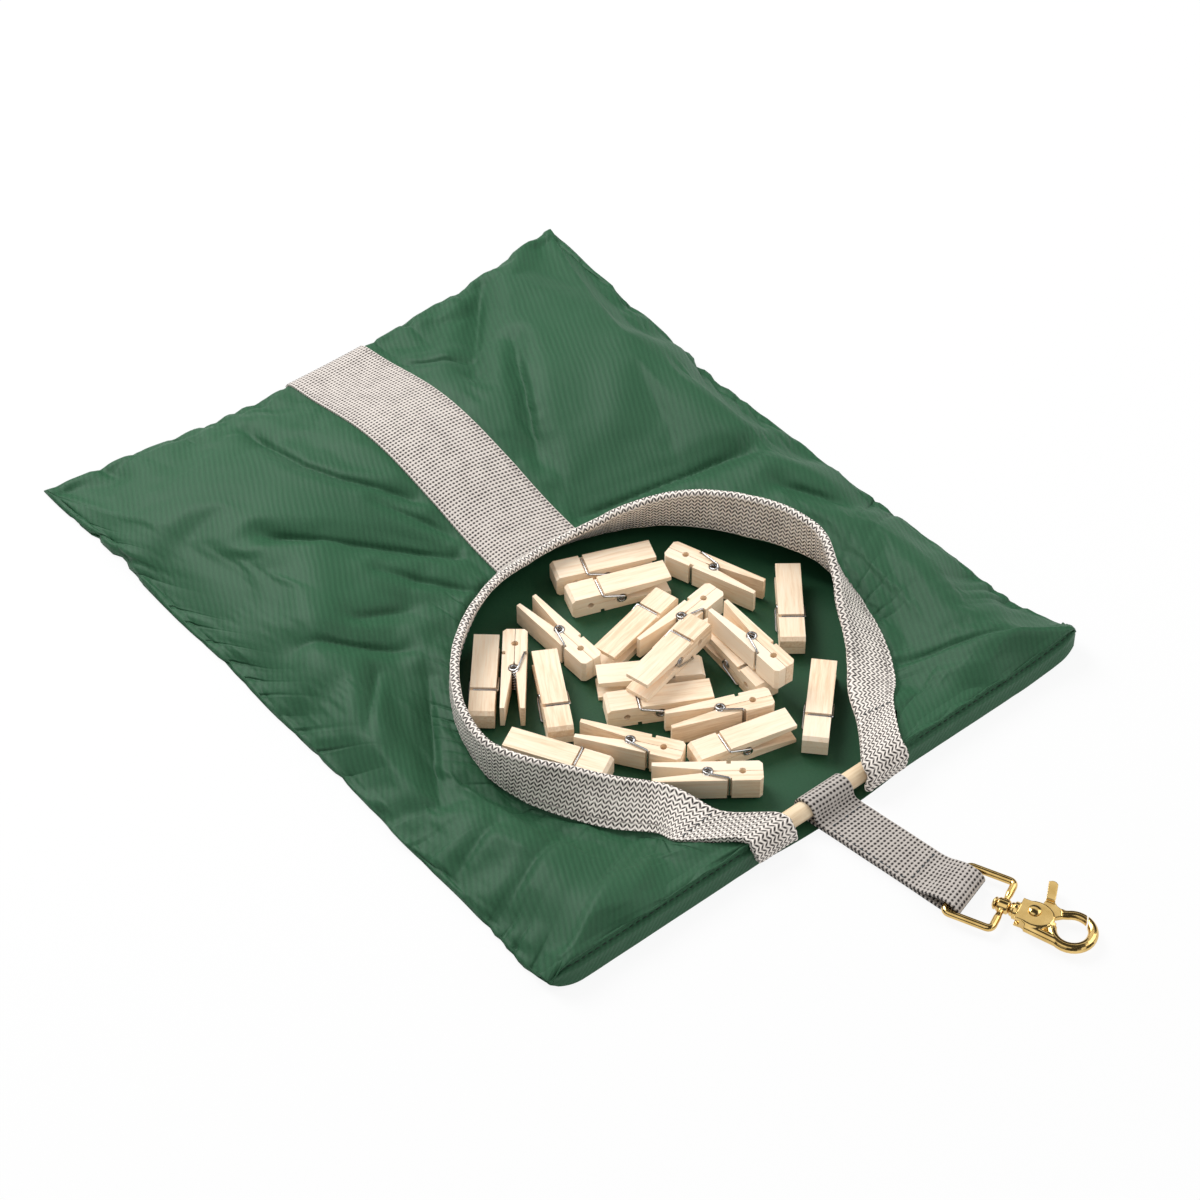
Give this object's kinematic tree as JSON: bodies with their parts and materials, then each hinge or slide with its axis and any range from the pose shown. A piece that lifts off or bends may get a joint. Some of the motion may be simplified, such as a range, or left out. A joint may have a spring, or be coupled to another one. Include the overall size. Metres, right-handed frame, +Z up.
{
  "type": "peg bag",
  "caption": "Cloth peg bag lying on its back: dowel in the top hem, round webbing-bound mouth, webbing stripe, strap with brass swivel snap, and a load of wooden spring pegs.",
  "frame": {"origin": "middle of the back panel's underside, on the surface the bag lies on", "axes": "+Z up out of the mouth, +Y from the bottom seam to the dowel and the snap, +X to the right when the bag hangs and its front is seen"},
  "size_m": [0.3453, 0.5737, 0.042],
  "materials": {
    "green_cloth": "plain-woven nylon with a slight sheen",
    "grey_webbing": "coarse woven polypropylene webbing",
    "dowel_wood": "bare planed hardwood",
    "peg_wood": "bare birch",
    "brass": "cast and tumbled",
    "steel_wire": "bright drawn wire"
  },
  "bodies": {
    "bag": {"back_panel": "green_cloth", "front_panel": "green_cloth", "mouth_binding": "grey_webbing", "front_stripe": "grey_webbing", "dowel": "dowel_wood", "dowel_sleeve_right": "green_cloth", "dowel_sleeve_left": "green_cloth", "peg_01": "peg_wood", "peg_02_lower_half": "peg_wood", "peg_02_spring": "steel_wire", "peg_03": "peg_wood", "peg_04": "peg_wood", "peg_05": "peg_wood", "peg_06_lower_half": "peg_wood", "peg_06_spring": "steel_wire", "peg_07": "peg_wood", "peg_08": "peg_wood", "peg_09": "peg_wood", "peg_10": "peg_wood", "peg_11_lower_half": "peg_wood", "peg_11_spring": "steel_wire", "peg_12": "peg_wood", "peg_13": "peg_wood", "peg_14": "peg_wood", "peg_15": "peg_wood", "peg_16_lower_half": "peg_wood", "peg_16_spring": "steel_wire", "peg_17": "peg_wood", "peg_18_lower_half": "peg_wood", "peg_18_spring": "steel_wire", "peg_19": "peg_wood", "peg_20_lower_half": "peg_wood", "peg_20_spring": "steel_wire", "peg_21": "peg_wood"},
    "hanger": {"hanging_strap": "grey_webbing"},
    "eye": {"snap_eye": "brass"},
    "snap": {"swivel_post": "brass", "snap_body": "brass", "trigger_rivet": "brass", "trigger_spring": "steel_wire"},
    "trigger": {"snap_trigger": "brass"},
    "peg_02_lever": {"peg_02_upper_half": "peg_wood"},
    "peg_06_lever": {"peg_06_upper_half": "peg_wood"},
    "peg_16_lever": {"peg_16_upper_half": "peg_wood"},
    "peg_18_lever": {"peg_18_upper_half": "peg_wood"},
    "peg_20_lever": {"peg_20_upper_half": "peg_wood"},
    "peg_11_lever": {"peg_11_upper_half": "peg_wood"}
  },
  "joints": [
    {"name": "strap_swing", "type": "hinge", "parent": "bag", "child": "hanger", "pos_m": [0, 0.2111, 0.0077], "axis": [1, 0, 0], "range_deg": [0, 100]},
    {"name": "eye_tilt", "type": "hinge", "parent": "hanger", "child": "eye", "pos_m": [-0.01218, 0.29077, 0.0045], "axis": [0.9135, 0.4067, 0], "range_deg": [-90, 90]},
    {"name": "snap_swivel", "type": "hinge", "parent": "eye", "child": "snap", "pos_m": [-0.02194, 0.3127, 0.0045], "axis": [-0.4067, 0.9135, 0], "continuous": true},
    {"name": "trigger_pivot", "type": "hinge", "parent": "snap", "child": "trigger", "pos_m": [-0.02941, 0.32579, 0.0045], "axis": [0, 0, -1], "range_deg": [0, 22], "stiffness_Nm_per_rad": 0.04, "springref_deg": -20.05, "deforming": ["trigger_spring"]},
    {"name": "peg_02_pinch", "type": "hinge", "parent": "bag", "child": "peg_02_lever", "pos_m": [-0.01302, 0.03895, 0.00735], "axis": [-0.342, -0.9397, 0], "range_deg": [0, 14], "stiffness_Nm_per_rad": 0.08, "springref_deg": -22.92, "deforming": ["peg_02_spring"]},
    {"name": "peg_06_pinch", "type": "hinge", "parent": "bag", "child": "peg_06_lever", "pos_m": [0.08022, 0.04641, 0.00735], "axis": [0.7547, -0.6561, 0], "range_deg": [0, 14], "stiffness_Nm_per_rad": 0.08, "springref_deg": -22.92, "deforming": ["peg_06_spring"]},
    {"name": "peg_16_pinch", "type": "hinge", "parent": "bag", "child": "peg_16_lever", "pos_m": [-0.03801, 0.166, 0.00735], "axis": [0.682, -0.7314, 0], "range_deg": [0, 14], "stiffness_Nm_per_rad": 0.08, "springref_deg": -22.92, "deforming": ["peg_16_spring"]},
    {"name": "peg_18_pinch", "type": "hinge", "parent": "bag", "child": "peg_18_lever", "pos_m": [0.084, 0.11004, 0.00735], "axis": [0.8746, 0.4848, 0], "range_deg": [0, 14], "stiffness_Nm_per_rad": 0.08, "springref_deg": -22.92, "deforming": ["peg_18_spring"]},
    {"name": "peg_20_pinch", "type": "hinge", "parent": "bag", "child": "peg_20_lever", "pos_m": [0.00704, 0.15897, 0.00735], "axis": [-0.2419, -0.9703, 0], "range_deg": [0, 14], "stiffness_Nm_per_rad": 0.08, "springref_deg": -22.92, "deforming": ["peg_20_spring"]},
    {"name": "peg_11_pinch", "type": "hinge", "parent": "bag", "child": "peg_11_lever", "pos_m": [0.00504, 0.10101, 0.02015], "axis": [-0.225, 0.9744, 0], "range_deg": [0, 14], "stiffness_Nm_per_rad": 0.08, "springref_deg": -22.92, "deforming": ["peg_11_spring"]}
  ]
}
